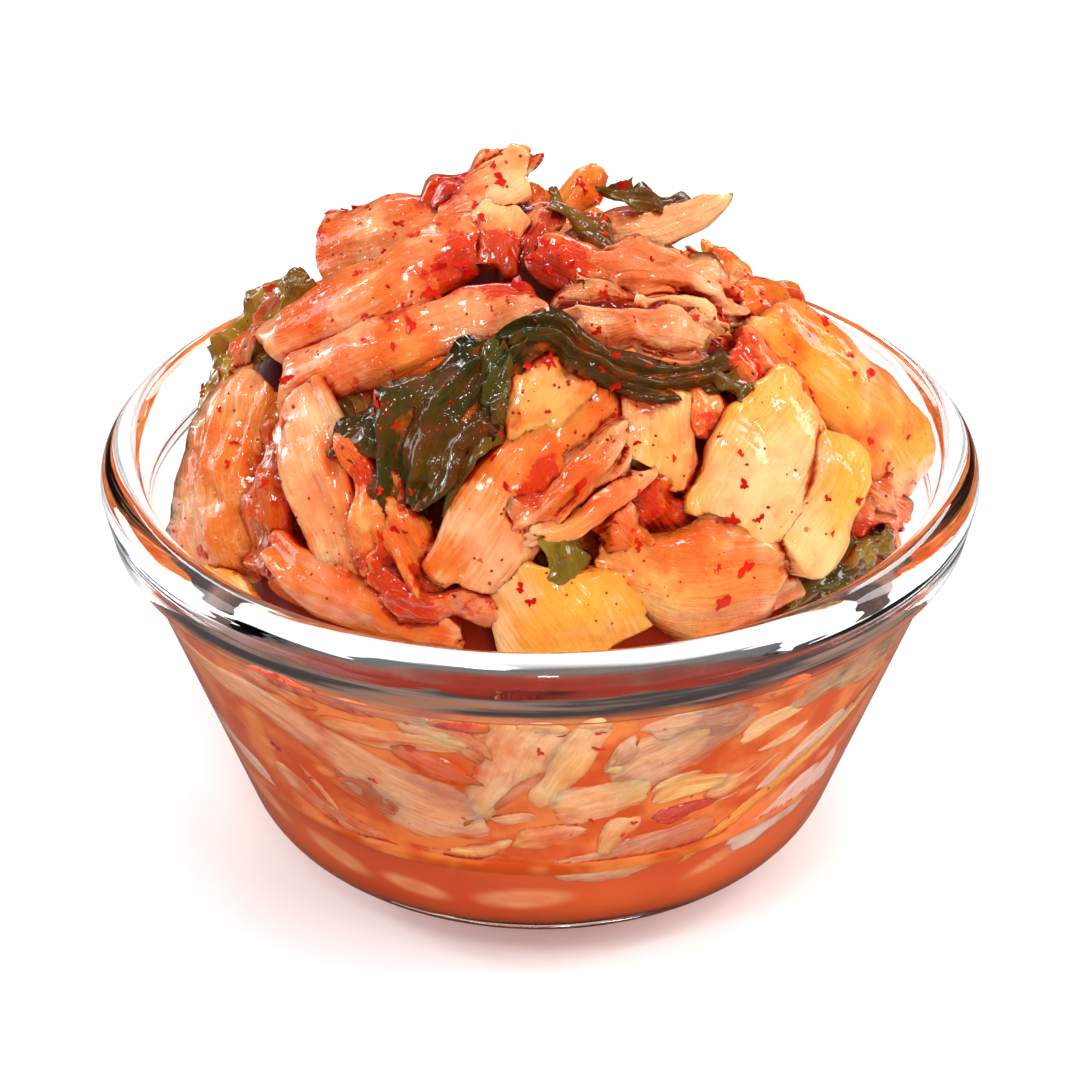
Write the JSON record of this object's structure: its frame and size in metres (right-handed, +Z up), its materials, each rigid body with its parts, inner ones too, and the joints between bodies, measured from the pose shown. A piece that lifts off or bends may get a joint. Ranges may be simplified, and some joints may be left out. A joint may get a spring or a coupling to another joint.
{
  "type": "kimchi in a glass bowl",
  "caption": "Small clear glass bowl with a thick rounded rim, its wall flaring up from a flat base, filled with red brine and heaped high with cut spiced cabbage.",
  "frame": {"origin": "middle of the bowl's flat base, on the surface it stands on", "axes": "+Z up along the bowl's axis; -Y is the front of the heap, where the folded green leaf lies; +X is to the right seen from the front"},
  "size_m": [0.11, 0.11, 0.0911],
  "materials": {
    "glass": "clear, polished",
    "brine": "orange-red spiced liquid, slightly cloudy, wet",
    "kimchi": "cut cabbage coated in red chilli sauce, translucent, wet and glossy, with dark green leaf"
  },
  "bodies": {
    "root": {"glass_bowl": "glass", "brine": "brine", "kimchi_heap": "kimchi"}
  },
  "joints": []
}
